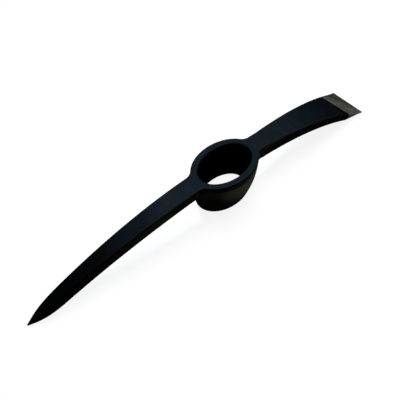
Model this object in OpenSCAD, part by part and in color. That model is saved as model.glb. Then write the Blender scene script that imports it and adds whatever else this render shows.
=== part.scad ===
// Pick head: a tapered oval eye between a drawn pick arm and a flared chisel arm.
// Lengths are in millimetres. The origin is on the axis of the eye, in the plane of the
// collar's lower rim. +X runs towards the chisel edge, -X towards the point, and +Z up
// the eye to its wide mouth. Both arms arch down from the upper rim.

/* [Eye] */
// Length of the oval eye at its wide upper mouth
eye_top_l = 76; // [64:0.5:90]
// Width of the oval eye at its wide upper mouth
eye_top_w = 49; // [42:0.5:58]
// Length of the oval eye at its narrow lower mouth
eye_low_l = 67; // [54:0.5:80]
// Width of the oval eye at its narrow lower mouth
eye_low_w = 42; // [34:0.5:50]
// Height of the collar around the eye
collar_h = 58.5; // [48:0.5:70]
// Wall of the collar at its upper rim
wall_top = 8.5; // [6.5:0.1:11]
// Wall of the collar at its lower rim
wall_low = 6.8; // [5:0.1:10]
// Swell of the collar's outer wall, halfway up
wall_belly = 2.5; // [0:0.1:4]
// Rounding of the collar's outer rims
rim_r = 1.5; // [0.5:0.1:2.5]
// Rounding of the eye's two mouths
mouth_r = 1; // [0.4:0.1:2]

/* [Shoulders] */
// How far each shoulder stands out past the end of the oval collar
shoulder_l = 16; // [12:0.5:24]
// Radius of the fillets between the shoulders and the collar, seen from above
shoulder_fillet = 14; // [8:0.5:18]
// Radius of the fillets between the undersides of the arms and the collar
under_fillet = 8; // [4:0.5:12]
// Rounding along the long edges of both arms
arm_edge_r = 1.8; // [0.8:0.1:3]

/* [Pick arm] */
// Distance from the axis of the eye to the tip of the point
pick_reach = 275; // [235:1:320]
// Radius of the pick arm's arched back
pick_arch_r = 620; // [540:5:900]
// Distance from the axis of the eye at which that arch begins
pick_arch_start = 25.5; // [10:0.5:36]
// Width of the pick arm where it leaves its shoulder
pick_root_w = 25; // [20:0.5:29]
// Depth of the pick arm where it leaves its shoulder
pick_root_t = 13.8; // [11:0.2:18]
// Width of the pick arm where the point begins
pick_neck_w = 15.5; // [12:0.5:19]
// Depth of the pick arm where the point begins
pick_neck_t = 16; // [13:0.2:19]
// Length of the steel point
point_l = 46; // [36:1:60]
// Width and depth left at the blunt end of the tip
tip_w = 1.4; // [0.8:0.1:3]

/* [Chisel arm] */
// Distance from the axis of the eye to the chisel edge
chisel_reach = 263; // [225:1:310]
// Radius of the chisel arm's arched back
chisel_arch_r = 495; // [430:5:800]
// Distance from the axis of the eye at which that arch begins
chisel_arch_start = 29; // [10:0.5:38]
// Width of the chisel arm where it leaves its shoulder
chisel_root_w = 26.5; // [20:0.5:31]
// Depth of the chisel arm where it leaves its shoulder
chisel_root_t = 19.8; // [15:0.2:24]
// Width of the chisel arm where the ground bit begins
bit_back_w = 51; // [38:0.5:60]
// Depth of the chisel arm where the ground bit begins
bit_back_t = 12; // [9:0.2:15]
// Length of the ground bit, measured along X
bit_l = 42; // [30:1:56]
// Width of the chisel edge
edge_w = 56.5; // [44:0.5:66]
// Thickness left at the chisel edge
edge_t = 1; // [0.6:0.1:2]

/* [Hidden] */

// Counts of the faces that make up the curves
oval_sides = 72;
rim_steps = 3;
wall_steps = 6;
corner_steps = 3;
shoulder_steps = 8;
fillet_steps = 5;
arm_steps = 12;
point_steps = 14;
bisections = 30;

// Share of the point's depth by which its back falls away towards the tip
point_back_share = 0.2;
// Power of the curve by which the pick arm narrows from its shoulder
pick_taper_power = 1.5;
// Powers of the curves that close the point in plan and from below
point_plan_power = 3.2;
point_belly_power = 2.2;
// Power of the curve by which the chisel arm thins from its shoulder
chisel_thin_power = 2;
// Largest share of a section's width or depth that its edge rounding may take
edge_round_share = 0.42;

// Half sizes of the collar's outer oval at the two rims
top_a = eye_top_l / 2 + wall_top;
top_b = eye_top_w / 2 + wall_top;
low_a = eye_low_l / 2 + wall_low;
low_b = eye_low_w / 2 + wall_low;
// Planes at which the pieces are welded together, as distances from the eye's axis
shoulder_x = top_a + shoulder_l;
point_x = pick_reach - point_l;
bit_x = chisel_reach - bit_l;

paint = [0.06, 0.065, 0.07];
bare_steel = [0.42, 0.42, 0.4];

// Value on the straight line from a to b
function mix(a, b, s) = a + (b - a) * s;

// Fall of a circular arch, at distance u past its start
function arch_fall(u, r) = let (v = max(u, 0)) r - sqrt(r * r - v * v);

// Ring of points on an oval with half sizes a and b at height z
function oval(a, b, z) =
    [for (i = [0 : oval_sides - 1]) let (t = 360 * i / oval_sides) [a * cos(t), b * sin(t), z]];

// Half sizes of the collar's bellied outer wall and of the tapered eye at height z
function wall_swell(z) = wall_belly * sin(180 * z / collar_h);
function outer_a(z) = mix(low_a, top_a, z / collar_h) + wall_swell(z);
function outer_b(z) = mix(low_b, top_b, z / collar_h) + wall_swell(z);
function inner_a(z) = mix(eye_low_l, eye_top_l, z / collar_h) / 2;
function inner_b(z) = mix(eye_low_w, eye_top_w, z / collar_h) / 2;

// Rings of the collar and of the eye at height z, grown by a length
function outer_ring(z, grow) = oval(outer_a(z) + grow, outer_b(z) + grow, z);
function inner_ring(z, grow) = oval(inner_a(z) + grow, inner_b(z) + grow, z);

// Steps of a quarter round of radius r, each as its height and its distance from the side
function quarter(r) = [for (k = [0 : rim_steps]) let (t = 90 * k / rim_steps) r * [1 - cos(t), 1 - sin(t)]];

// Rings up the outside of the collar, with both rims rounded
function collar_rings() = concat(
    [for (q = quarter(rim_r)) outer_ring(q[0], -q[1])],
    [for (k = [1 : wall_steps - 1]) outer_ring(mix(rim_r, collar_h - rim_r, k / wall_steps), 0)],
    [for (k = [rim_steps : -1 : 0]) let (q = quarter(rim_r)[k]) outer_ring(collar_h - q[0], -q[1])]);

// Rings up the eye, with both mouths rounded, from below the collar to above it
function eye_rings() = concat(
    [inner_ring(-mouth_r, mouth_r)],
    [for (q = quarter(mouth_r)) inner_ring(q[0], q[1])],
    [for (k = [rim_steps : -1 : 0]) let (q = quarter(mouth_r)[k]) inner_ring(collar_h - q[0], q[1])],
    [inner_ring(collar_h + mouth_r, mouth_r)]);

// Point on an oval at angle t, and the outward direction there
function oval_at(a, b, t) = [a * cos(t), b * sin(t)];
function oval_out(a, b, t) = let (v = [b * cos(t), a * sin(t)]) v / norm(v);

// Angle on the oval at which a fillet of radius f touches it, for an arm of half width h
function fillet_angle(a, b, h, f, low = 0, high = 90, left = bisections) =
    let (t = (low + high) / 2, y = oval_at(a, b, t)[1] + f * oval_out(a, b, t)[1])
    left == 0 ? t
    : y < h + f ? fillet_angle(a, b, h, f, t, high, left - 1)
    : fillet_angle(a, b, h, f, low, t, left - 1);

// Places along X of a fillet's two ends: where it touches the oval and where it meets the arm
function fillet_ends(a, b, h) =
    let (f = shoulder_fillet, t = fillet_angle(a, b, h, f))
    [oval_at(a, b, t)[0], oval_at(a, b, t)[0] + f * oval_out(a, b, t)[0]];

// Half width of a shoulder at x, from its fillet's ends and the arm's half width
function shoulder_half(x, ends, h) =
    let (f = shoulder_fillet, u = ends[1] - max(x, ends[0]))
    h + (u > 0 ? f - sqrt(f * f - u * u) : 0);

// Section of an arm at x: a rectangle with rounded edges, narrower below where it has draft
function section(x, half_top, half_low, z_top, z_low) =
    let (
        r = min(arm_edge_r, edge_round_share * (z_top - z_low), edge_round_share * 2 * half_low),
        corners = [
            [half_top - r, z_top - r], [r - half_top, z_top - r],
            [r - half_low, z_low + r], [half_low - r, z_low + r]])
    [for (c = [0 : 3]) for (k = [0 : corner_steps]) let (t = 90 * (c + k / corner_steps))
        [x, corners[c][0] + r * cos(t), corners[c][1] + r * sin(t)]];

// Back, depth and width of the pick arm at distance x from the eye's axis
function pick_back(x) = collar_h - arch_fall(x - pick_arch_start, pick_arch_r);
function pick_share(x) = max((x - shoulder_x) / (point_x - shoulder_x), 0);
function pick_w(x) = mix(pick_root_w, pick_neck_w, pow(pick_share(x), pick_taper_power));
function pick_t(x) = mix(pick_root_t, pick_neck_t, pick_share(x));
function pick_section(x) =
    section(x, pick_w(x) / 2, pick_w(x) / 2, pick_back(x), pick_back(x) - pick_t(x));

// Section of the point, s of the way from its weld to its tip: it carries on the arm's taper and closes
function point_section(s) =
    let (
        x = mix(point_x, pick_reach, s),
        half = (pick_w(x) - (pick_w(pick_reach) - tip_w) * pow(s, point_plan_power)) / 2,
        lost = (pick_t(pick_reach) - tip_w) * pow(s, point_belly_power),
        z_top = pick_back(x) - lost * point_back_share,
        z_low = pick_back(x) - pick_t(x) + lost * (1 - point_back_share))
    section(x, half, half, z_top, z_low);

// Back, depth and width of the chisel arm at distance x from the eye's axis
function chisel_back(x) = collar_h - arch_fall(x - chisel_arch_start, chisel_arch_r);
function chisel_share(x) = (x - shoulder_x) / (bit_x - shoulder_x);
function chisel_w(x) = mix(chisel_root_w, bit_back_w, chisel_share(x));
function chisel_t(x) =
    mix(bit_back_t, chisel_root_t, pow(1 - max(chisel_share(x), 0), chisel_thin_power));
function chisel_section(x) =
    section(x, chisel_w(x) / 2, chisel_w(x) / 2, chisel_back(x), chisel_back(x) - chisel_t(x));

// Slope of the chisel arm's back where the bit begins, which the bit's flat face carries on
bit_slope = (bit_x - chisel_arch_start)
    / sqrt(chisel_arch_r * chisel_arch_r - pow(bit_x - chisel_arch_start, 2));

// Section of the bit, s of the way from its weld to the chisel edge
function bit_section(s) =
    let (
        half = mix(bit_back_w, edge_w, s) / 2,
        z_top = chisel_back(bit_x) - bit_slope * bit_l * s,
        t = mix(bit_back_t, edge_t, s))
    section(bit_x + bit_l * s, half, half, z_top, z_top - t);

// Ends of a shoulder's fillets, at the top of the arm and at its underside
function shoulder_ends(root_w, root_t) =
    let (z = collar_h - root_t)
    [fillet_ends(top_a, top_b, root_w / 2), fillet_ends(outer_a(z), outer_b(z), root_w / 2)];

// Places along X of a shoulder's sections, from inside the collar's wall to the weld
function shoulder_xs(ends) =
    concat([for (k = [0 : shoulder_steps]) mix(ends[1][0], ends[0][1], k / shoulder_steps)], [shoulder_x]);

// Rings of a shoulder, which has draft where its fillets follow the collar's taper
function shoulder_rings(root_w, root_t, back) =
    let (h = root_w / 2, ends = shoulder_ends(root_w, root_t))
    [for (x = shoulder_xs(ends))
        section(x, shoulder_half(x, ends[0], h), shoulder_half(x, ends[1], h), back(x), back(x) - root_t)];

// Plan of a shoulder's underside, within its rounded edges
function under_plan(root_w, root_t) =
    let (
        h = root_w / 2,
        ends = shoulder_ends(root_w, root_t),
        side = [for (x = shoulder_xs(ends)) [x, shoulder_half(x, ends[1], h) - arm_edge_r]])
    concat(side, [for (k = [len(side) - 1 : -1 : 0]) [side[k][0], -side[k][1]]]);

// Rings of the flare by which the collar's wall curves out under an arm, up to a ring inside the arm
function flare_rings(root_t, back) =
    let (
        reach = outer_a(collar_h - root_t) + under_fillet,
        z_under = back(reach) - root_t)
    concat(
        [for (k = [0 : fillet_steps]) let (t = 90 * k / fillet_steps)
            outer_ring(z_under - under_fillet * (1 - sin(t)), under_fillet * (1 - cos(t)))],
        [outer_ring(z_under + arm_edge_r, under_fillet)]);

// Solid through a list of rings, with flat ends
module loft(rings) {
    n = len(rings[0]);
    count = len(rings);
    sides = [for (j = [0 : count - 2]) for (i = [0 : n - 1])
        let (p = j * n + i, q = j * n + (i + 1) % n)
        each [[p, p + n, q], [q, p + n, q + n]]];
    ends = [
        [for (i = [0 : n - 1]) i],
        [for (i = [n - 1 : -1 : 0]) (count - 1) * n + i]];
    polyhedron(points = [for (ring = rings) each ring], faces = concat(sides, ends), convexity = 6);
}

module to_pick_side() {
    mirror([1, 0, 0]) children();
}

// Shoulder that an arm is welded to, with the fillet under it
module shoulder(root_w, root_t, back) {
    loft(shoulder_rings(root_w, root_t, back));
    intersection() {
        loft(flare_rings(root_t, back));
        linear_extrude(collar_h) polygon(under_plan(root_w, root_t));
    }
}

// Collar with its two shoulders and the tapered oval eye
module eye_collar() {
    color(paint) difference() {
        union() {
            loft(collar_rings());
            shoulder(chisel_root_w, chisel_root_t, function (x) chisel_back(x));
            to_pick_side() shoulder(pick_root_w, pick_root_t, function (x) pick_back(x));
        }
        loft(eye_rings());
    }
}

// Arm drawn down from a wide flat root to a square neck
module pick_arm() {
    color(paint) to_pick_side()
        loft([for (k = [0 : arm_steps]) pick_section(mix(shoulder_x, point_x, k / arm_steps))]);
}

// Steel point, closed by curves at both sides and from below
module pick_point() {
    color(paint) to_pick_side()
        loft([for (k = [0 : point_steps]) point_section(k / point_steps)]);
}

// Arm that thins and flares towards the chisel end
module chisel_arm() {
    color(paint)
        loft([for (k = [0 : arm_steps]) chisel_section(mix(shoulder_x, bit_x, k / arm_steps))]);
}

// Bare steel bit, ground to a wedge
module chisel_bit() {
    color(bare_steel) loft([bit_section(0), bit_section(1)]);
}

eye_collar();
pick_arm();
pick_point();
chisel_arm();
chisel_bit();
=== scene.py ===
"""Finished look of a pick head: a black painted forging with a bare ground bit, on a white studio floor."""

import math
from collections import namedtuple

import bmesh
import bpy
from bpy.props import FloatProperty, FloatVectorProperty, PointerProperty
from mathutils import Matrix, Vector


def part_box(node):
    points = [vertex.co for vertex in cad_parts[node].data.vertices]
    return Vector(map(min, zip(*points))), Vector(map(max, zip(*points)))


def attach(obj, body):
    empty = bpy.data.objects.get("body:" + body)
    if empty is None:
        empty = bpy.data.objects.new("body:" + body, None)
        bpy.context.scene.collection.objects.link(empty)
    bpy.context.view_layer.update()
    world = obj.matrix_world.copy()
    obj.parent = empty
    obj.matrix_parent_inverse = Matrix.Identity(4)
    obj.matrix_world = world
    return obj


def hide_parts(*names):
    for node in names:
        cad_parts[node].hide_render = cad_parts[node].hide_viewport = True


bl_info = {
    "name": "Pick Head",
    "version": (1, 0, 0),
    "blender": (4, 5, 0),
    "location": "View3D > Sidebar > Pick Head",
    "description": "Builds the painted pick head over its packed solids and sets the stage for it",
    "category": "Add Mesh",
}

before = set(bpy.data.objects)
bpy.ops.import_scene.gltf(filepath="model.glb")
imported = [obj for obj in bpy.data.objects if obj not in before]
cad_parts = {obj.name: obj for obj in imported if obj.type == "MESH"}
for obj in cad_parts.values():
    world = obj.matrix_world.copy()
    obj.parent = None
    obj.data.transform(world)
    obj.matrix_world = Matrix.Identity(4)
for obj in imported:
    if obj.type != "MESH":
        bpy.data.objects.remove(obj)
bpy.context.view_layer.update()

COLLAR_LOW, COLLAR_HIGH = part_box("eye_collar")
PICK_LOW, PICK_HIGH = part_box("pick_arm")
POINT_LOW, POINT_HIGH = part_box("pick_point")
CHISEL_LOW, CHISEL_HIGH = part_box("chisel_arm")
BIT_LOW, BIT_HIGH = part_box("chisel_bit")

# The collar's height, and the welds and ends along the head as distances from the eye's axis.
COLLAR_H = COLLAR_HIGH.z
CHISEL_WELD = COLLAR_HIGH.x
PICK_WELD = -COLLAR_LOW.x
POINT_X = -PICK_LOW.x
PICK_REACH = -POINT_LOW.x
BIT_X = CHISEL_HIGH.x
CHISEL_REACH = BIT_HIGH.x
# Widths of the pick arm at its weld and at its neck, and of the bit at its back and at its edge.
PICK_ROOT_W = PICK_HIGH.y - PICK_LOW.y
PICK_NECK_W = POINT_HIGH.y - POINT_LOW.y
BIT_BACK_W = CHISEL_HIGH.y - CHISEL_LOW.y
BIT_EDGE_W = BIT_HIGH.y - BIT_LOW.y

# Vertices on half a shoulder: across its weld, along its straight side and round its fillet.
WELD_STEPS = 6
SIDE_STEPS = 5
FILLET_STEPS = 8
SHOULDER_STEPS = WELD_STEPS + SIDE_STEPS + FILLET_STEPS
# Vertices along the collar's flank between the two shoulders.
FLANK_STEPS = 44
# Steps round each rounded edge, and places of the vertices across the flat faces of an arm and of the rim.
ROUND_STEPS = 4
FLAT_SHARES = (0.05, 0.2, 0.4, 0.6, 0.8, 0.95)
RIM_SHARES = (0.06, 0.35, 0.65, 0.94)
# Rings up the collar's wall, round the fillet under the arms, on their underside, up their sides and down the eye.
WALL_STEPS = 6
FLARE_STEPS = 6
LEDGE_STEPS = 2
RISE_STEPS = 4
EYE_STEPS = 8
# Rings at the end of the collar's rings that lie inside the eye.
BORE_RINGS = EYE_STEPS + ROUND_STEPS + 2
# Sections along an arm, the point and the bit, and how much those of the point crowd towards its tip.
ARM_STEPS = 40
POINT_STEPS = 30
POINT_CROWD = 1.5
BIT_STEPS = 16
# Height between the rings that the arms' lower edges leave on the collar's flanks.
LEDGE_RISE = 0.0003
# Rings and vertices between which the arms' lower edges run out into the collar, and how they are smoothed there.
RUNOUT_FIRST = ROUND_STEPS + 1 + WALL_STEPS
RUNOUT_LAST = RUNOUT_FIRST + FLARE_STEPS + LEDGE_STEPS + ROUND_STEPS + 1
RUNOUT_START = WELD_STEPS + SIDE_STEPS - 1
RUNOUT_FLANK = 5
RUNOUT_PASSES = 14
RUNOUT_FACTOR = 0.5
# Angles on the oval, in radians, between which a fillet touches it, and how often that range is halved.
TOUCH_RANGE = (0.05, 1.4)
TOUCH_HALVINGS = 50
# Length below which two points count as one.
TOUCHING = 1e-6
# Direction along which vertices and faces are put in order, because extruding leaves them in another order each run.
ORDER = Vector((1.0, 0.6180339, 0.3247179))

# Share of an arm's depth, or of its width, that the radius of its edges may take.
ROUND_SHARE = 0.42
# Powers of the pick arm's taper in width, of the point's loss in width and in depth, and of the chisel arm's thinning.
PICK_TAPER = 1.5
POINT_TAPER = 3.2
POINT_THINNING = 2.2
CHISEL_THINNING = 2
# Shares of the point's lost depth that come off its back and off its underside.
POINT_OFF_BACK, POINT_OFF_UNDER = 0.2, 0.8

# Faces that look along X by more than this are the ends of a piece, which its paint doesn't follow.
END_FACE = 0.95
# Distances from the eye's axis at which the painted shade on the arms' sides begins and is full.
FLANK_RANGE = (CHISEL_WELD * 0.62, CHISEL_WELD * 0.86)
# Edges bent by more than the first angle are sharp. Softer bends that add up to the second one are fully black, as
# painted shade.
SHARP_BEND = math.radians(50)
BLACK_BEND = math.radians(40)
# How far a face looks to the front where the painted shade comes in, and how far up or down where the painted shade of
# foot and roots ends.
FRONT_RANGE = (-0.3, 0.3)
LEVEL_RANGE = (0.4, 0.8)
# Painted shade on the edges at the front, on the chisel arm and at the back, and where the chisel arm's takes over.
EDGE_BLACK, CHISEL_EDGE_BLACK, BACK_EDGE_BLACK = 1.0, 0.4, 0.2
CHISEL_EDGE_RANGE = (0.055, 0.075)
# Painted shade in a band under the rim: how level its faces may be, its heights, and its rise towards either arm.
BAND_LEVEL = 0.5
BAND_RANGE = (COLLAR_H - 0.012, COLLAR_H - 0.0065)
BAND_RISES = (0.15, -0.06)
# Painted shade at the collar's foot: its heights, counted downwards, its climb towards the pick arm and where that
# ends.
FOOT_RANGE = (-0.027, -0.003)
FOOT_CLIMB = 0.72
FOOT_CLIMB_END = -0.028
# Painted shade at the roots of the arms: where it follows on the foot, where it fades, and how black it is.
ROOT_RANGE = (0.04, 0.048)
ROOT_FADE = (0.075, 0.105)
CHISEL_ROOT_BLACK, PICK_ROOT_BLACK = 0.95, 0.75

# Range that most of a noise lies in, the whole range of a share, and plain white.
MOST = (0.3, 0.7)
WHOLE = (0.0, 1.0)
WHITE = (1.0, 1.0, 1.0, 1.0)
# Scorched paint beside the bit: where it begins and is full, its skew across the arm and how far it wanders.
SCORCH_RANGE = (BIT_X - 0.004, BIT_X + 0.002)
SCORCH_SKEW = 0.25
SCORCH_WANDER = 0.0015
# End of the paint on the bit: where it begins and is full, its skew and its raggedness.
PAINT_END_RANGE = (BIT_X + 0.0017, BIT_X + 0.0021)
PAINT_END_SKEW = 0.11
PAINT_END_RAGGED = 0.0005
# Grinding marks: their turn about each axis, in radians, and how closely they lie along it.
GRIND_TURN = (0.0, 0.0, 0.12)
GRIND_SCALE = (40.0, 900.0, 300.0)
# Shares of the bit's length over which its steel grows warmer and over which its corner goes dull, and the skew and
# wander of that corner.
WARM_SHARES = (0.1, 0.75)
DULL_SHARES = (0.45, 0.85)
DULL_SKEW = 0.75
DULL_WANDER = 0.007

# Floor: its radius and sides, its gap under the lower rim, and the distances over which it goes from nearly to fully
# white.
FLOOR_RADIUS = 12.0
FLOOR_SIDES = 96
FLOOR_GAP = 0.0002
FLOOR_FADE = (0.38, 0.75)
FLOOR_WHITE = (0.88, 1.0)
# Camera: where it stands, seen from the middle of the upper rim, and which way its back looks, both in degrees round
# the eye's axis and above the floor. Its lens and film are in millimetres, its sight in metres.
CAMERA_STAND = (-45.868, 51.274)
CAMERA_BACK = (-39.312, 57.556)
CAMERA_LENS = 31.477
CAMERA_FILM = 36.0
CAMERA_SIGHT = (0.01, 50.0)

# A place round the collar, a shoulder seen from above, and a lamp with the property that holds its power.
Spot = namedtuple("Spot", "side step hand low_angle top_angle share")
Plan = namedtuple("Plan", "weld half centre_x centre_y fillet end_angle touch")
Lamp = namedtuple("Lamp", "name kind power place aim tint settings")


def length(name, default, description):
    """A length of the head that a user may change."""
    return FloatProperty(
        name=name, description=description, default=default, min=0.0002, unit="LENGTH", subtype="DISTANCE"
    )


def colour(name, default, description):
    """A colour that a user may change."""
    return FloatVectorProperty(
        name=name, description=description, default=default, size=3, min=0.0, max=1.0, subtype="COLOR"
    )


def power(name, default, description):
    """The power of a lamp, which a user may change."""
    return FloatProperty(name=name, description=description, default=default, min=0.0, subtype="POWER")


class PickHeadForm(bpy.types.PropertyGroup):
    """Sizes of the forging that its packed boxes do not give."""

    eye_top_l: length("Eye length, top", 0.076, "Length of the eye at its upper mouth")
    eye_top_w: length("Eye width, top", 0.049, "Width of the eye at its upper mouth")
    eye_low_l: length("Eye length, bottom", 0.067, "Length of the eye at its lower mouth")
    eye_low_w: length("Eye width, bottom", 0.042, "Width of the eye at its lower mouth")
    wall_top: length("Wall, top", 0.0085, "Thickness of the collar's wall at the upper rim")
    wall_low: length("Wall, bottom", 0.0068, "Thickness of the collar's wall at the lower rim")
    wall_belly: length("Wall belly", 0.0024, "Outward swell of the wall at half its height")
    rim_round: length("Rim round", 0.0012, "Radius of the collar's outer rims")
    mouth_round: length("Mouth round", 0.0018, "Radius of the eye's upper mouth")
    low_mouth_round: length("Lower mouth round", 0.001, "Radius of the eye's lower mouth")
    shoulder_fillet: length("Shoulder fillet", 0.014, "Radius between the collar and an arm, seen from above")
    under_fillet: length("Under fillet", 0.008, "Radius between the collar and the underside of an arm")
    edge_round: length("Edge round", 0.0018, "Radius of the arms' long edges")
    pick_arch: length("Pick arch", 0.62, "Radius of the pick arm's back")
    pick_arch_start: length("Pick arch start", 0.0255, "Where the pick arm starts to fall, from the eye's axis")
    pick_root_t: length("Pick root depth", 0.0138, "Depth of the pick arm at its weld")
    pick_neck_t: length("Pick neck depth", 0.016, "Depth of the pick arm at the steel point")
    tip_w: length("Tip", 0.0014, "Width and depth left at the very tip")
    chisel_arch: length("Chisel arch", 0.495, "Radius of the chisel arm's back")
    chisel_arch_start: length("Chisel arch start", 0.029, "Where the chisel arm starts to fall, from the eye's axis")
    chisel_root_w: length("Chisel root width", 0.0265, "Width of the chisel arm at its weld")
    chisel_root_t: length("Chisel root depth", 0.0198, "Depth of the chisel arm at its weld")
    bit_back_t: length("Bit back depth", 0.012, "Depth of the steel bit where it meets the arm")
    edge_t: length("Cutting edge", 0.001, "Thickness left at the cutting edge")


class PickHeadPaint(bpy.types.PropertyGroup):
    """Colours of the paint and of the bare steel, with darker colours that stand for painted shade."""

    paint: colour("Paint", (0.0105, 0.0138, 0.0175), "Black enamel on the forging")
    # Painted shade: this black stands for shade on the front edges, in the band under the rim, at the collar's foot
    # and at the arms' roots.
    paint_shade: colour("Edge paint", (0.001, 0.0012, 0.0014), "Blackest enamel: edges, rim band, foot and roots")
    # Painted shade: a darker colour on the arms' sides, where less light falls.
    paint_side_shade: colour("Dull paint", (0.0054, 0.0058, 0.0054), "Dull enamel on the trimmed sides of the arms")
    paint_scorch: colour("Scorched paint", (0.002, 0.002, 0.0022), "Enamel burnt by the grinding of the bit")
    bore: colour("Eye scale", (0.001, 0.001, 0.0012), "Dull black scale inside the eye")
    steel: colour("Ground steel", (0.138, 0.139, 0.135), "Bare steel of the bit")
    # Painted shade: a darker colour on the bit's sides, where less light falls.
    steel_side_shade: colour("Side steel", (0.1, 0.1, 0.092), "Duller steel on the sides of the bit")
    steel_warm: colour("Warm steel", (0.152, 0.151, 0.126), "Bare steel nearer to the cutting edge")
    steel_dark: colour("Dark steel", (0.09, 0.089, 0.063), "Bare steel in the dull corner of the edge")


class PickHeadStage(bpy.types.PropertyGroup):
    """Light and camera."""

    floor: colour("Floor", (0.95, 0.95, 0.95), "White studio floor")
    floor_bounce: colour("Floor bounce", (0.08, 0.075, 0.06), "Light that the floor throws back at the head")
    world: colour("Room", (0.035, 0.036, 0.038), "Dim light of the room")
    key_power: power("Key power", 29.2, "Power of the cool lamp above and behind the head")
    side_power: power("Side power", 4.1, "Power of the soft lamp beyond the chisel end")
    fill_power: power("Fill power", 6.0, "Power of the small warm lamp low before the collar, on its chisel side")
    front_power: power("Front power", 1.6, "Power of the weak warm lamp before the pick arm")
    wash_power: power("Wash power", 52.0, "Power of the wide lamp that lights the floor alone")
    camera_distance: length("Camera distance", 0.42, "From the middle of the upper rim to the camera")


def mix(a, b, share):
    """A value between two others."""
    return a + (b - a) * share


def ease(value, low, high):
    """Rises smoothly from 0 at a low value to 1 at a high one."""
    run = min(max((value - low) / (high - low), 0.0), 1.0)
    return run * run * (3 - 2 * run)


def shares(steps):
    """Even shares from 0 to 1."""
    return [step / steps for step in range(steps + 1)]


def at_height(point, z):
    """A point of a plan, at a height."""
    return Vector((point.x, point.y, z))


QUARTER = [math.radians(90 * share) for share in shares(ROUND_STEPS)]


def arch_fall(run, radius):
    """How far an arched back has fallen after a run from the start of its arch."""
    run = max(run, 0.0)
    return radius - math.sqrt(radius * radius - run * run)


def pick_back(form, x):
    """Height of the pick arm's back."""
    return COLLAR_H - arch_fall(x - form.pick_arch_start, form.pick_arch)


def chisel_back(form, x):
    """Height of the chisel arm's back."""
    return COLLAR_H - arch_fall(x - form.chisel_arch_start, form.chisel_arch)


def ring_edges(bm, ring):
    """The edges of a closed ring of vertices."""
    return [bm.edges.get((a, b)) for a, b in zip(ring, ring[1:] + ring[:1])]


def first_ring(bm, points):
    """A closed ring of vertices at the given points."""
    ring = bmesh.ops.create_circle(bm, cap_ends=False, segments=len(points), radius=COLLAR_H)["verts"]
    for vert, point in zip(ring, points):
        vert.co = point
    return ring


def next_ring(bm, ring, points):
    """Extrudes a ring to the given points."""
    made = bmesh.ops.extrude_edge_only(bm, edges=ring_edges(bm, ring))["geom"]
    made = {part for part in made if isinstance(part, bmesh.types.BMVert)}
    drawn = []
    for vert, point in zip(ring, points):
        others = (edge.other_vert(vert) for edge in vert.link_edges)
        drawn.append(next(other for other in others if other in made))
        drawn[-1].co = point
    return drawn


def bar_section(x, half, high, low, edge_round):
    """Points round one rounded section of an arm, which lies across X."""
    r = min(edge_round, ROUND_SHARE * (high - low), ROUND_SHARE * 2 * half)
    corners = ((half - r, high - r), (r - half, high - r), (r - half, low + r), (half - r, low + r))
    arcs = []
    for quarter, (y, z) in enumerate(corners):
        turns = [math.radians(90 * (quarter + share)) for share in shares(ROUND_STEPS)]
        arcs.append([Vector((x, y + r * math.cos(turn), z + r * math.sin(turn))) for turn in turns])
    points = []
    for arc, following in zip(arcs, arcs[1:] + arcs[:1]):
        points += arc
        points += [arc[-1].lerp(following[0], share) for share in FLAT_SHARES]
    return points


def pick_section(form, x):
    """Section of the pick arm and, past the neck, of its point."""
    share = (x - PICK_WELD) / (POINT_X - PICK_WELD)
    width = mix(PICK_ROOT_W, PICK_NECK_W, share**PICK_TAPER)
    depth = mix(form.pick_root_t, form.pick_neck_t, share)
    back = pick_back(form, x)
    if x <= POINT_X:
        return bar_section(-x, width / 2, back, back - depth, form.edge_round)
    end = (PICK_REACH - PICK_WELD) / (POINT_X - PICK_WELD)
    end_w = mix(PICK_ROOT_W, PICK_NECK_W, end**PICK_TAPER)
    end_t = mix(form.pick_root_t, form.pick_neck_t, end)
    run = (x - POINT_X) / (PICK_REACH - POINT_X)
    half = (width - (end_w - form.tip_w) * run**POINT_TAPER) / 2
    lost = (end_t - form.tip_w) * run**POINT_THINNING
    high, low = back - POINT_OFF_BACK * lost, back - depth + POINT_OFF_UNDER * lost
    return bar_section(-x, half, high, low, form.edge_round)


def chisel_section(form, x):
    """Section of the chisel arm and, past the arm's end, of its bit."""
    if x <= BIT_X:
        share = (x - CHISEL_WELD) / (BIT_X - CHISEL_WELD)
        width = mix(form.chisel_root_w, BIT_BACK_W, share)
        depth = mix(form.bit_back_t, form.chisel_root_t, (1 - share) ** CHISEL_THINNING)
        back = chisel_back(form, x)
    else:
        run = (x - BIT_X) / (CHISEL_REACH - BIT_X)
        width = mix(BIT_BACK_W, BIT_EDGE_W, run)
        depth = mix(form.bit_back_t, form.edge_t, run)
        arch_run = BIT_X - form.chisel_arch_start
        slope = arch_run / math.sqrt(form.chisel_arch**2 - arch_run**2)
        back = chisel_back(form, BIT_X) - slope * (x - BIT_X)
    return bar_section(x, width / 2, back, back - depth, form.edge_round)


def draw_bar(sections):
    """Draws a closed bar through its sections."""
    bm = bmesh.new()
    start = ring = first_ring(bm, sections[0])
    for points in sections[1:]:
        ring = next_ring(bm, ring, points)
    for end in (start, ring):
        cap = bmesh.ops.edgeloop_fill(bm, edges=ring_edges(bm, end))["faces"]
        for middle in bmesh.ops.poke(bm, faces=cap)["verts"]:
            middle.co.x = end[0].co.x
    return bm


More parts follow.
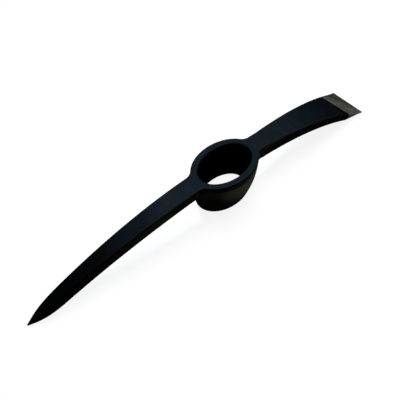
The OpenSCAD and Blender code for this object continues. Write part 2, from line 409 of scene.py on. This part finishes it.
def mark_paint(bm):
    """Marks painted shade on the vertices: on bent edges and in a band under the rim, on the arms' sides, and at the
    collar's foot and the arms' roots.
    """
    wear = bm.verts.layers.float.new("wear")
    flank = bm.verts.layers.float.new("flank")
    soot = bm.verts.layers.float.new("soot")
    for vert in bm.verts:
        x, away = vert.co.x, abs(vert.co.x)
        normals = [face.normal for face in vert.link_faces if abs(face.normal.x) < END_FACE]
        around = sum(normals, Vector()).normalized()
        front = ease(-around.y, *FRONT_RANGE)
        upright = 1 - ease(abs(around.z), *LEVEL_RANGE)
        # Painted shade on the sides: the more a face looks along Y, the darker, away from the eye.
        vert[flank] = around.y**2 * ease(away, *FLANK_RANGE)

        # Painted shade on bent edges and in a band under the rim: full at the front, weaker on the chisel arm, a fifth
        # as strong at the back.
        turns = [edge.calc_face_angle_signed(0.0) for edge in vert.link_edges]
        black = sum(turn for turn in turns if turn < SHARP_BEND) / BLACK_BEND
        if abs(around.z) < BAND_LEVEL:
            rise = max(slope * x for slope in BAND_RISES)
            black = max(black, ease(vert.co.z - rise, *BAND_RANGE))
        outside = around.xy.dot(vert.co.xy) > 0.0
        if outside:
            front_black = mix(EDGE_BLACK, CHISEL_EDGE_BLACK, ease(x, *CHISEL_EDGE_RANGE))
            vert[wear] = min(max(black, 0.0), 1.0) * mix(BACK_EDGE_BLACK, front_black, front)

        # Painted shade at the collar's foot and the arms' roots, on upright faces that look to the front.
        root_black = CHISEL_ROOT_BLACK if x > 0 else PICK_ROOT_BLACK
        root = root_black * (1 - ease(away, *ROOT_FADE))
        foot = ease(-vert.co.z - FOOT_CLIMB * max(x, FOOT_CLIMB_END), *FOOT_RANGE)
        vert[soot] = mix(foot, root, ease(away, *ROOT_RANGE)) * front * upright


def finish_piece(bm, name, node, slot, *materials):
    """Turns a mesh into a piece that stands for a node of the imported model."""
    bmesh.ops.recalc_face_normals(bm, faces=bm.faces)
    bm.normal_update()
    mark_paint(bm)
    for edge in bm.edges:
        edge.smooth = edge.calc_face_angle(0.0) < SHARP_BEND
    for face in bm.faces:
        face.smooth = True
    bm.verts.sort(key=lambda vert: vert.co.dot(ORDER))
    bm.faces.sort(key=lambda face: face.calc_center_median().dot(ORDER))
    mesh = bpy.data.meshes.new(name)
    bm.to_mesh(mesh)
    bm.free()
    piece = bpy.data.objects.new(name, mesh)
    bpy.context.scene.collection.objects.link(piece)
    for material in materials:
        mesh.materials.append(material)
    weighted = piece.modifiers.new("Flat faces first", "WEIGHTED_NORMAL")
    weighted.mode = "FACE_AREA"
    weighted.weight = 50
    weighted.keep_sharp = True
    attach(piece, "root")
    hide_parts(node)


class Nodes:
    """Adds nodes to the tree of a material or of the world and links them."""

    def __init__(self, owner, output):
        self.owner = owner
        owner.use_nodes = True
        self.tree = owner.node_tree
        self.tree.nodes.clear()
        self.output = self.tree.nodes.new(output)

    def surface(self, shader):
        """Links the last shader to the output and returns the material or the world."""
        self.tree.links.new(shader.outputs[0], self.output.inputs["Surface"])
        return self.owner

    def add(self, kind, inputs=None, **settings):
        """A node with its settings, and with a link or a fixed value for each given input."""
        node = self.tree.nodes.new(kind)
        for key, value in settings.items():
            setattr(node, key, value)
        for key, value in (inputs or {}).items():
            if isinstance(value, bpy.types.NodeSocket):
                self.tree.links.new(value, node.inputs[key])
            else:
                node.inputs[key].default_value = value
        return node

    def place(self):
        """Place on the piece, in metres of the shared frame."""
        return self.add("ShaderNodeTexCoord").outputs["Object"]

    def axes(self, place):
        """The X, Y and Z of a place."""
        return self.add("ShaderNodeSeparateXYZ", {0: place}).outputs

    def mark(self, name):
        """A mark that the piece carries on its vertices."""
        return self.add("ShaderNodeAttribute", attribute_name=name).outputs["Fac"]

    def noise(self, vector, scale, detail=4.0, roughness=0.5):
        """Soft noise with about scale grains in a metre."""
        values = {"Vector": vector, "Scale": scale, "Detail": detail, "Roughness": roughness}
        return self.add("ShaderNodeTexNoise", values).outputs["Fac"]

    def spread(self, value, given, to=WHOLE):
        """Maps a given range of a value smoothly to another range."""
        values = {"Value": value, "From Min": given[0], "From Max": given[1], "To Min": to[0], "To Max": to[1]}
        return self.add("ShaderNodeMapRange", values, interpolation_type="SMOOTHSTEP").outputs["Result"]

    def wander(self, noise, reach):
        """A noise as a shift of at most a reach to either side."""
        return self.spread(noise, MOST, (-reach, reach))

    def blend(self, share, a, b):
        """A mix of two colours."""
        return self.add("ShaderNodeMix", {0: share, 6: a, 7: b}, data_type="RGBA").outputs[2]

    def math(self, operation, a, b):
        """A sum, product or other result of two values."""
        return self.add("ShaderNodeMath", {0: a, 1: b}, operation=operation).outputs[0]

    def bump(self, height, strength, distance, **below):
        """A normal raised by a height, over the normal below it where one is given."""
        values = {"Strength": strength, "Distance": distance, "Height": height, **below}
        return self.add("ShaderNodeBump", values).outputs["Normal"]

    def either(self, share, first, second):
        """A mix of two shaders."""
        return self.add("ShaderNodeMixShader", {0: share, 1: first.outputs[0], 2: second.outputs[0]})

    def seen(self):
        """1 for what the camera sees, directly, in a reflection or through glass."""
        path = self.add("ShaderNodeLightPath").outputs
        seen = self.math("MAXIMUM", path["Is Camera Ray"], path["Is Glossy Ray"])
        return self.math("MAXIMUM", seen, path["Is Transmission Ray"])


def painted(name):
    """Nodes of a new material."""
    return Nodes(bpy.data.materials.new(name), "ShaderNodeOutputMaterial")


def rgba(value, gain=1.0):
    """A colour for a socket, made darker or paler by a gain."""
    return (value[0] * gain, value[1] * gain, value[2] * gain, 1.0)


def black_enamel():
    """Satin black enamel with painted shade, blackest where it is marked and darker on the arms' sides, and scorched
    beside the bit.
    """
    if "black_enamel" in bpy.data.materials:
        return bpy.data.materials["black_enamel"]
    look = bpy.context.scene.pick_head_paint
    n = painted("black_enamel")
    place = n.place()
    broad = n.noise(place, scale=38.0, detail=3.0)
    forged = n.noise(place, scale=130.0, roughness=0.55)
    fine = n.noise(place, scale=420.0, detail=5.0, roughness=0.6)

    tone = n.blend(n.spread(broad, MOST), rgba(look.paint, 0.85), rgba(look.paint, 1.15))
    dents = n.spread(forged, (0.35, 0.68), (0.0, 0.3))
    tone = n.blend(dents, tone, rgba(look.paint, 0.55))
    speckle = n.spread(fine, (0.35, 0.62), (0.85, 1.0))
    # Painted shade on the marked edges and in the band under the rim.
    edge = n.math("MULTIPLY", n.spread(n.mark("wear"), (0.25, 0.9)), speckle)
    tone = n.blend(edge, tone, rgba(look.paint_shade))
    # Painted shade on the arms' sides.
    tone = n.blend(n.mark("flank"), tone, rgba(look.paint_side_shade))
    # Painted shade at the collar's foot and the arms' roots.
    tone = n.blend(n.mark("soot"), tone, rgba(look.paint_shade))
    axes = n.axes(place)
    burn = n.math("SUBTRACT", axes["X"], n.math("MULTIPLY", axes["Y"], SCORCH_SKEW))
    burn = n.math("ADD", burn, n.wander(broad, SCORCH_WANDER))
    base = n.blend(n.spread(burn, SCORCH_RANGE), tone, rgba(look.paint_scorch))

    rough = n.math("ADD", n.spread(broad, MOST, (0.44, 0.54)), n.spread(fine, MOST, (-0.03, 0.05)))
    swell = n.bump(broad, strength=0.25, distance=0.0012)
    swell = n.bump(forged, strength=0.2, distance=0.0006, Normal=swell)
    peel = n.bump(fine, strength=0.18, distance=0.0003, Normal=swell)
    shader = n.add(
        "ShaderNodeBsdfPrincipled",
        {
            "Base Color": base,
            "Roughness": rough,
            "Specular IOR Level": 0.0,
            "Coat Weight": 0.006,
            "Coat Roughness": 0.32,
            "Normal": peel,
            "Coat Normal": swell,
        },
    )
    return n.surface(shader)


def eye_scale():
    """Dull black forging scale inside the eye."""
    look = bpy.context.scene.pick_head_paint
    n = painted("eye_scale")
    patch = n.noise(n.place(), scale=120.0, detail=6.0, roughness=0.6)
    base = n.blend(n.spread(patch, (0.35, 0.65)), rgba(look.bore, 0.7), rgba(look.bore, 1.3))
    rough = n.spread(patch, MOST, (0.8, 0.95))
    pits = n.bump(patch, strength=0.4, distance=0.0005)
    shader = n.add(
        "ShaderNodeBsdfPrincipled",
        {"Base Color": base, "Roughness": rough, "Specular IOR Level": 0.0, "Normal": pits},
    )
    return n.surface(shader)


def on_bit(part):
    """Places along the bit, from shares of its length."""
    return [mix(BIT_X, CHISEL_REACH, share) for share in part]


def ground_steel():
    """Bare steel with grinding marks that run towards the cutting edge, and the ragged end of the paint."""
    look = bpy.context.scene.pick_head_paint
    n = painted("ground_steel")
    place = n.place()
    axes = n.axes(place)
    along = axes["X"]
    lie = n.add("ShaderNodeMapping", {"Vector": place, "Rotation": GRIND_TURN, "Scale": GRIND_SCALE})
    marks = n.noise(lie.outputs["Vector"], scale=1.0, roughness=0.6)
    patch = n.noise(place, scale=90.0, roughness=0.55)
    ragged = n.noise(place, scale=500.0, detail=3.0, roughness=0.6)

    tone = n.blend(n.spread(along, on_bit(WARM_SHARES)), rgba(look.steel), rgba(look.steel_warm))
    slant = n.math("ADD", along, n.math("MULTIPLY", axes["Y"], DULL_SKEW))
    slant = n.math("ADD", slant, n.wander(patch, DULL_WANDER))
    tone = n.blend(n.spread(slant, on_bit(DULL_SHARES)), tone, rgba(look.steel_dark))
    grooves = n.math("MULTIPLY", n.spread(marks, (0.35, 0.7), (0.0, 0.55)), patch)
    tone = n.blend(grooves, tone, rgba(look.steel, 0.45))
    # Painted shade on the bit's sides.
    tone = n.blend(n.spread(n.mark("flank"), (0.2, 0.9)), tone, rgba(look.steel_side_shade))
    line = n.math("ADD", along, n.math("MULTIPLY", axes["Y"], PAINT_END_SKEW))
    line = n.math("ADD", line, n.wander(ragged, PAINT_END_RAGGED))
    bare = n.spread(line, PAINT_END_RANGE)
    base = n.blend(bare, rgba(look.paint_scorch), tone)

    rough = n.math("ADD", n.spread(marks, MOST, (0.36, 0.5)), n.spread(patch, MOST, (-0.04, 0.06)))
    shader = n.add(
        "ShaderNodeBsdfPrincipled",
        {
            "Base Color": base,
            "Metallic": bare,
            "Roughness": rough,
            "Specular IOR Level": 0.0,
            "Specular Tint": (0.05, 0.05, 0.05, 1.0),
            "Normal": n.bump(marks, strength=0.3, distance=0.0002),
        },
    )
    return n.surface(shader)


def studio_white():
    """Floor that is white to the camera and in reflections, keeps a soft shadow, and is clear from below."""
    look = bpy.context.scene.pick_head_stage
    n = painted("studio_white")
    shadow = n.add("ShaderNodeBsdfDiffuse", {"Color": rgba(look.floor)})
    white = n.add("ShaderNodeEmission", {"Color": WHITE, "Strength": 1.0})
    away = n.add("ShaderNodeVectorMath", {0: n.place()}, operation="LENGTH").outputs["Value"]
    shown = n.either(n.spread(away, FLOOR_FADE, FLOOR_WHITE), shadow, white)
    dull = n.add("ShaderNodeBsdfDiffuse", {"Color": rgba(look.floor_bounce)})
    both = n.either(n.seen(), dull, shown)
    below = n.add("ShaderNodeNewGeometry").outputs["Backfacing"]
    return n.surface(n.either(below, both, n.add("ShaderNodeBsdfTransparent")))


def studio_room():
    """Dim room that is white where the camera or a reflection sees it."""
    look = bpy.context.scene.pick_head_stage
    n = Nodes(bpy.data.worlds.new("studio_room"), "ShaderNodeOutputWorld")
    dim = n.add("ShaderNodeBackground", {"Color": rgba(look.world)})
    white = n.add("ShaderNodeBackground", {"Color": WHITE})
    return n.surface(n.either(n.seen(), dim, white))


class Collar:
    """Places the rings of the oval collar and its two shoulders. Side 1 is the chisel's, side -1 the pick's."""

    def __init__(self, form):
        self.form = form
        self.half = {1: form.chisel_root_w / 2, -1: PICK_ROOT_W / 2}
        self.depth = {1: form.chisel_root_t, -1: form.pick_root_t}
        self.weld = {1: CHISEL_WELD, -1: PICK_WELD}
        self.low_plan = {side: self.plan(side, self.back(side, 0.0) - self.depth[side]) for side in (1, -1)}
        self.top_plan = {side: self.plan(side, COLLAR_H) for side in (1, -1)}
        self.spots = self.layout()

    def back(self, side, x):
        """Height of an arm's back."""
        return chisel_back(self.form, x) if side > 0 else pick_back(self.form, x)

    def outer(self, z):
        """Half length and half width of the outside at a height."""
        form = self.form
        up = z / COLLAR_H
        swell = form.wall_belly * math.sin(math.pi * up)
        wall = mix(form.wall_low, form.wall_top, up) + swell
        a, b = self.inner(z)
        return a + wall, b + wall

    def inner(self, z):
        """Half length and half width of the eye at a height."""
        form = self.form
        up = z / COLLAR_H
        return mix(form.eye_low_l, form.eye_top_l, up) / 2, mix(form.eye_low_w, form.eye_top_w, up) / 2

    def plan(self, side, z):
        """Finds where a shoulder's fillet touches the oval, seen from above."""
        a, b = self.outer(z)
        half, fillet = self.half[side], self.form.shoulder_fillet
        low, high = TOUCH_RANGE
        for _ in range(TOUCH_HALVINGS):
            touch = (low + high) / 2
            out = Vector((math.cos(touch) / a, math.sin(touch) / b)).normalized()
            centre = Vector((a * math.cos(touch), b * math.sin(touch))) + out * fillet
            if centre.y - fillet < half:
                low = touch
            else:
                high = touch
        end_angle = math.atan2(out.y, out.x) - math.pi
        return Plan(self.weld[side], half, centre.x, centre.y, fillet, end_angle, touch)

    def layout(self):
        """The vertices of every ring, in order round the collar."""
        plans = (self.low_plan, self.top_plan)
        spots = []
        for side, turn in ((1, 0.0), (-1, math.pi)):
            for step in range(-SHOULDER_STEPS, SHOULDER_STEPS + 1):
                angles = [turn + plan[side].touch * step / SHOULDER_STEPS for plan in plans]
                hand = 1 if math.sin(angles[0]) >= 0 else -1
                spots.append(Spot(side, abs(step), hand, *angles, 0.0 if side > 0 else 1.0))
            for step in range(1, FLANK_STEPS):
                share = step / FLANK_STEPS
                angles = [turn + mix(plan[side].touch, math.pi - plan[-side].touch, share) for plan in plans]
                spots.append(Spot(0, 0, side, *angles, share if side > 0 else 1 - share))
        return spots

    def merge(self, spot):
        """0 on a shoulder, 1 where its fillet has run out into the collar."""
        if spot.side == 0:
            return 1.0
        return ease(spot.step, WELD_STEPS + SIDE_STEPS, SHOULDER_STEPS)

    def runs_out(self, spot):
        """Whether a place lies where the lower edge of an arm runs out into the collar."""
        if spot.side:
            return spot.step >= RUNOUT_START
        return min(spot.share, 1 - spot.share) <= RUNOUT_FLANK / FLANK_STEPS

    def outline(self, plans, spot, inset):
        """A point on a shoulder's outline, seen from above."""
        plan = plans[spot.side]
        half = plan.half - inset
        if spot.step <= WELD_STEPS:
            x, y = plan.weld, half * spot.step / WELD_STEPS
        elif spot.step <= WELD_STEPS + SIDE_STEPS:
            x, y = mix(plan.weld, plan.centre_x, (spot.step - WELD_STEPS) / SIDE_STEPS), half
        else:
            run = (spot.step - WELD_STEPS - SIDE_STEPS) / FILLET_STEPS
            turn = mix(-math.pi / 2, plan.end_angle, run)
            x = plan.centre_x + (plan.fillet + inset) * math.cos(turn)
            y = plan.centre_y + (plan.fillet + inset) * math.sin(turn)
        return Vector((spot.side * x, spot.hand * y))

    def oval(self, spot, size, grow=0.0, up=0.0):
        """A point on an oval, which shifts a little round it from the arms' underside (up 0) to their top (up 1)."""
        angle = mix(spot.low_angle, spot.top_angle, up)
        return Vector(((size[0] + grow) * math.cos(angle), (size[1] + grow) * math.sin(angle)))

    def under(self, spot, x):
        """Height of the underside of the arms, carried round the collar between them."""
        if spot.side:
            return self.back(spot.side, x) - self.depth[spot.side]
        chisel, pick = [
            self.back(side, plan.centre_x + plan.fillet * math.cos(plan.end_angle)) - self.depth[side]
            for side, plan in self.low_plan.items()
        ]
        return mix(chisel, pick, spot.share)

    def top(self, point):
        """Height of the upper rim and of the arms' backs."""
        return self.back(1 if point.x > 0 else -1, abs(point.x))

    def rings(self):
        """Rings from the lower rim up the wall, round the shoulders, over the upper rim and down the eye."""
        r = self.form.rim_round
        made = []
        for turn in QUARTER:
            z, inset = r * (1 - math.cos(turn)), r * (1 - math.sin(turn))
            made.append([at_height(self.oval(spot, self.outer(z), -inset), z) for spot in self.spots])
        made += [list(row) for row in zip(*[self.column(spot) for spot in self.spots])]
        return made

    def column(self, spot):
        """The points above one another at one place round the collar."""
        column = self.wall_points(spot)
        column += self.side_points(spot, column[-1].z)
        column += self.eye_points(spot, column[-1].xy)
        return column

    def wall_points(self, spot):
        """Points up the wall, round the fillet under an arm, along its underside and round its lower edge."""
        form = self.form
        merge = self.merge(spot)
        flare, low_r = form.under_fillet, form.edge_round * (1 - merge)
        foot = self.oval(spot, self.outer(self.under(spot, COLLAR_H)))
        edge = self.outline(self.low_plan, spot, low_r) if spot.side else foot
        reach = min(flare, (edge - foot).length)
        under = self.under(spot, abs(foot.x) + reach)
        points = []
        for step in range(1, WALL_STEPS + 1):
            z = mix(form.rim_round, under - flare, step / WALL_STEPS)
            points.append(at_height(self.oval(spot, self.outer(z)), z))
        for step in range(1, FLARE_STEPS + 1):
            turn = math.radians(90 * step / FLARE_STEPS)
            lift = math.sin(turn)
            z = under - flare * (1 - lift)
            point = self.oval(spot, self.outer(z))
            way = edge - point
            if spot.side and way.length > TOUCHING:
                out = min(reach, way.length) * mix(1 - math.cos(turn), ease(lift, 0.0, 1.0), merge)
                point += way.normalized() * out
            points.append(at_height(point, z))
        rest = points[-1].xy
        for step in range(1, LEDGE_STEPS + ROUND_STEPS + 1):
            z = under + LEDGE_RISE * step
            if not spot.side:
                point = self.oval(spot, self.outer(z))
            elif step <= LEDGE_STEPS:
                point = rest.lerp(edge, step / LEDGE_STEPS)
                z = mix(self.under(spot, abs(point.x)), z, merge)
            else:
                turn = QUARTER[step - LEDGE_STEPS]
                point = self.outline(self.low_plan, spot, low_r * (1 - math.sin(turn)))
                z = mix(self.under(spot, abs(point.x)) + low_r * (1 - math.cos(turn)), z, merge)
            points.append(at_height(point, z))
        return points

    def side_points(self, spot, start_z):
        """Points up an arm's side, or on up the wall, and round the upper edge."""
        form = self.form
        merge = self.merge(spot)
        top_r = mix(form.edge_round, form.rim_round, merge)
        low_wall = self.oval(spot, self.outer(self.under(spot, 0.0)))
        high_wall = self.oval(spot, self.outer(COLLAR_H), up=1.0)
        points = []
        for step in range(1, RISE_STEPS + 1):
            up = step / RISE_STEPS
            point = high = self.oval(spot, self.outer(mix(start_z, COLLAR_H - top_r, up)), up=up)
            if spot.side:
                belly = point - low_wall.lerp(high_wall, up)
                high = self.outline(self.top_plan, spot, 0.0)
                point = self.outline(self.low_plan, spot, 0.0).lerp(high, up) + belly * merge
            points.append(at_height(point, mix(start_z, self.top(high) - top_r, up)))
        for turn in QUARTER[1:]:
            inset = top_r * (1 - math.cos(turn))
            if spot.side:
                point = self.outline(self.top_plan, spot, inset)
            else:
                point = self.oval(spot, self.outer(COLLAR_H), -inset, 1.0)
            points.append(at_height(point, self.top(point) - top_r * (1 - math.sin(turn))))
        return points

    def eye_points(self, spot, rim):
        """Points across the upper rim, over the eye's mouth, down the eye and round its lower mouth."""
        form = self.form
        mouth_r, low_r = form.mouth_round, form.low_mouth_round
        mouth = self.oval(spot, self.inner(COLLAR_H), mouth_r, 1.0)
        points = []
        for share in RIM_SHARES:
            point = rim.lerp(mouth, share)
            points.append(at_height(point, self.top(point)))
        for turn in QUARTER:
            drop = mouth_r * (1 - math.cos(turn))
            point = self.oval(spot, self.inner(COLLAR_H - drop), mouth_r * (1 - math.sin(turn)), 1.0)
            points.append(at_height(point, self.top(mouth) - drop))
        head = points[-1].z
        for step in range(1, EYE_STEPS + 1):
            up = 1 - step / EYE_STEPS
            z = mix(low_r, head, up)
            points.append(at_height(self.oval(spot, self.inner(z), 0.0, up), z))
        for turn in QUARTER[1:]:
            z = low_r * (1 - math.sin(turn))
            points.append(at_height(self.oval(spot, self.inner(z), low_r * (1 - math.cos(turn))), z))
        return points


class PICKHEAD_OT_collar(bpy.types.Operator):
    """Forges the oval collar with the shoulders of both arms"""

    bl_idname = "pickhead.collar"
    bl_label = "Eye Collar"

    def execute(self, context):
        collar = Collar(context.scene.pick_head_form)
        bm = bmesh.new()
        first, *others = collar.rings()
        rings = [first_ring(bm, first)]
        for points in others:
            rings.append(next_ring(bm, rings[-1], points))
        bmesh.ops.bridge_loops(bm, edges=ring_edges(bm, rings[0]) + ring_edges(bm, rings[-1]))
        soft = []
        for ring in rings[RUNOUT_FIRST:RUNOUT_LAST]:
            soft += [vert for vert, spot in zip(ring, collar.spots) if collar.runs_out(spot)]
        for _ in range(RUNOUT_PASSES):
            bmesh.ops.smooth_vert(
                bm, verts=soft, factor=RUNOUT_FACTOR, use_axis_x=True, use_axis_y=True, use_axis_z=True
            )
        bore = {vert for ring in rings[-BORE_RINGS:] for vert in ring}
        for face in bm.faces:
            face.material_index = int(all(vert in bore for vert in face.verts))
        finish_piece(bm, "collar_forging", "eye_collar", "black_paint", black_enamel(), eye_scale())
        return {"FINISHED"}


class PICKHEAD_OT_pick_arm(bpy.types.Operator):
    """Draws the pick arm from its shoulder to the square neck"""

    bl_idname = "pickhead.pick_arm"
    bl_label = "Pick Arm"

    def execute(self, context):
        form = context.scene.pick_head_form
        places = [mix(PICK_WELD, POINT_X, share) for share in shares(ARM_STEPS)]
        bm = draw_bar([pick_section(form, x) for x in places])
        finish_piece(bm, "pick_arm_forging", "pick_arm", "black_paint", black_enamel())
        return {"FINISHED"}


class PICKHEAD_OT_pick_point(bpy.types.Operator):
    """Closes the pick arm to its point"""

    bl_idname = "pickhead.pick_point"
    bl_label = "Pick Point"

    def execute(self, context):
        form = context.scene.pick_head_form
        places = [mix(POINT_X, PICK_REACH, 1 - (1 - share) ** POINT_CROWD) for share in shares(POINT_STEPS)]
        bm = draw_bar([pick_section(form, x) for x in places])
        finish_piece(bm, "pick_point_steel", "pick_point", "black_paint", black_enamel())
        return {"FINISHED"}


class PICKHEAD_OT_chisel_arm(bpy.types.Operator):
    """Draws the chisel arm, which thins and flares towards the bit"""

    bl_idname = "pickhead.chisel_arm"
    bl_label = "Chisel Arm"

    def execute(self, context):
        form = context.scene.pick_head_form
        places = [mix(CHISEL_WELD, BIT_X, share) for share in shares(ARM_STEPS)]
        bm = draw_bar([chisel_section(form, x) for x in places])
        finish_piece(bm, "chisel_arm_forging", "chisel_arm", "black_paint", black_enamel())
        return {"FINISHED"}


class PICKHEAD_OT_chisel_bit(bpy.types.Operator):
    """Grinds the bare steel bit to its edge"""

    bl_idname = "pickhead.chisel_bit"
    bl_label = "Chisel Bit"

    def execute(self, context):
        form = context.scene.pick_head_form
        bm = draw_bar([chisel_section(form, x) for x in on_bit(shares(BIT_STEPS))])
        finish_piece(bm, "chisel_bit_ground", "chisel_bit", "ground_steel", ground_steel())
        return {"FINISHED"}


def beam(cone, blend, soft):
    """Settings of a spot lamp: its cone in degrees, the soft share of the cone and the lamp's radius."""
    return {"spot_size": math.radians(cone), "spot_blend": blend, "shadow_soft_size": soft}


def disk(size):
    """Settings of a round soft lamp, from its diameter."""
    return {"shape": "DISK", "size": size}


LAMPS = (
    Lamp(
        name="key_spot",
        kind="SPOT",
        power="key_power",
        place=(0.0, 0.45, 0.72),
        aim=(0.0, 0.0, 0.05),
        tint=(0.75, 1.0, 1.13),
        settings=beam(cone=28, blend=1.0, soft=0.05),
    ),
    Lamp(
        name="side_soft",
        kind="AREA",
        power="side_power",
        place=(0.95, 0.62, 0.48),
        aim=(0.1, 0.0, 0.03),
        tint=(0.78, 1.0, 1.13),
        settings=disk(0.5),
    ),
    Lamp(
        name="collar_fill",
        kind="SPOT",
        power="fill_power",
        place=(0.222, -0.195, 0.05),
        aim=(0.008, -0.03, 0.09),
        tint=(1.0, 0.85, 0.37),
        settings=beam(cone=36, blend=0.6, soft=0.008),
    ),
    Lamp(
        name="front_fill",
        kind="SPOT",
        power="front_power",
        place=(-0.22, -0.46, 0.1),
        aim=(-0.05, -0.03, 0.03),
        tint=(1.0, 0.79, 0.24),
        settings=beam(cone=44, blend=1.0, soft=0.05),
    ),
    Lamp(
        name="floor_wash",
        kind="AREA",
        power="wash_power",
        place=(0.35, 0.45, 1.9),
        aim=(0.0, 0.0, 0.0),
        tint=(1.0, 1.0, 1.0),
        settings=disk(1.4),
    ),
)


def back_vector(azimuth, elevation):
    """A direction, from degrees round the eye's axis and above the floor."""
    a, e = math.radians(azimuth), math.radians(elevation)
    return Vector((math.sin(a) * math.cos(e), -math.cos(a) * math.cos(e), math.sin(e)))


class PICKHEAD_OT_stage(bpy.types.Operator):
    """Lays the floor and sets the lamps, the room's light and the camera"""

    bl_idname = "pickhead.stage"
    bl_label = "Stage"

    def execute(self, context):
        scene = context.scene
        look = scene.pick_head_stage
        scene.view_settings.view_transform = "Standard"
        floor = self.lay_floor(scene)
        scene.world = studio_room()
        lamps = {lamp.name: self.hang(scene, lamp, getattr(look, lamp.power)) for lamp in LAMPS}
        only_floor = bpy.data.collections.new("floor_wash_falls_on")
        only_floor.objects.link(floor)
        lamps["floor_wash"].light_linking.receiver_collection = only_floor
        scene.camera = self.set_camera(scene, look.camera_distance)
        return {"FINISHED"}

    def lay_floor(self, scene):
        """Lays the floor just under the lower rim."""
        bm = bmesh.new()
        bmesh.ops.create_circle(bm, cap_ends=True, segments=FLOOR_SIDES, radius=FLOOR_RADIUS)
        bmesh.ops.translate(bm, verts=bm.verts, vec=(0.0, 0.0, -FLOOR_GAP))
        mesh = bpy.data.meshes.new("studio_floor")
        bm.to_mesh(mesh)
        bm.free()
        mesh.materials.append(studio_white())
        floor = bpy.data.objects.new("studio_floor", mesh)
        scene.collection.objects.link(floor)
        return floor

    def hang(self, scene, lamp, watts):
        """Hangs a lamp, turned to its aim and unseen by the camera."""
        data = bpy.data.lights.new(lamp.name, lamp.kind)
        data.energy = watts
        data.color = lamp.tint
        for key, value in lamp.settings.items():
            setattr(data, key, value)
        hung = bpy.data.objects.new(lamp.name, data)
        scene.collection.objects.link(hung)
        hung.location = lamp.place
        hung.rotation_euler = (Vector(lamp.aim) - Vector(lamp.place)).to_track_quat("-Z", "Y").to_euler()
        hung.visible_camera = False
        return hung

    def set_camera(self, scene, distance):
        """Sets the camera at the photograph's viewing angle."""
        data = bpy.data.cameras.new("photo_camera")
        data.sensor_width = CAMERA_FILM
        data.lens = CAMERA_LENS
        data.clip_start, data.clip_end = CAMERA_SIGHT
        camera = bpy.data.objects.new("photo_camera", data)
        scene.collection.objects.link(camera)
        place = Vector((0.0, 0.0, COLLAR_H)) + back_vector(*CAMERA_STAND) * distance
        back = back_vector(*CAMERA_BACK)
        turn = math.radians(CAMERA_BACK[0])
        right = Vector((math.cos(turn), math.sin(turn), 0.0))
        facing = Matrix((right, back.cross(right), back)).transposed().to_4x4()
        camera.matrix_world = Matrix.Translation(place) @ facing
        return camera


class PICKHEAD_PT_panel(bpy.types.Panel):
    """Lists the steps that build the pick head"""

    bl_label = "Pick Head"
    bl_space_type = "VIEW_3D"
    bl_region_type = "UI"
    bl_category = "Pick Head"

    def draw(self, context):
        for step in STEPS:
            self.layout.operator(step.bl_idname)
        for group in ("pick_head_form", "pick_head_paint", "pick_head_stage"):
            values = getattr(context.scene, group)
            box = self.layout.box()
            for name in values.bl_rna.properties.keys():
                if name not in ("name", "rna_type"):
                    box.prop(values, name)


STEPS = (
    PICKHEAD_OT_collar,
    PICKHEAD_OT_pick_arm,
    PICKHEAD_OT_pick_point,
    PICKHEAD_OT_chisel_arm,
    PICKHEAD_OT_chisel_bit,
    PICKHEAD_OT_stage,
)
CLASSES = (PickHeadForm, PickHeadPaint, PickHeadStage, *STEPS, PICKHEAD_PT_panel)


def register():
    """Registers the classes and hangs their properties on the scene."""
    for cls in CLASSES:
        bpy.utils.register_class(cls)
    bpy.types.Scene.pick_head_form = PointerProperty(type=PickHeadForm)
    bpy.types.Scene.pick_head_paint = PointerProperty(type=PickHeadPaint)
    bpy.types.Scene.pick_head_stage = PointerProperty(type=PickHeadStage)


def unregister():
    """Takes away what register added."""
    del bpy.types.Scene.pick_head_form
    del bpy.types.Scene.pick_head_paint
    del bpy.types.Scene.pick_head_stage
    for cls in reversed(CLASSES):
        bpy.utils.unregister_class(cls)


def main():
    """Builds the pick head and its stage."""
    register()
    bpy.ops.pickhead.collar()
    bpy.ops.pickhead.pick_arm()
    bpy.ops.pickhead.pick_point()
    bpy.ops.pickhead.chisel_arm()
    bpy.ops.pickhead.chisel_bit()
    bpy.ops.pickhead.stage()


if __name__ == "__main__":
    main()
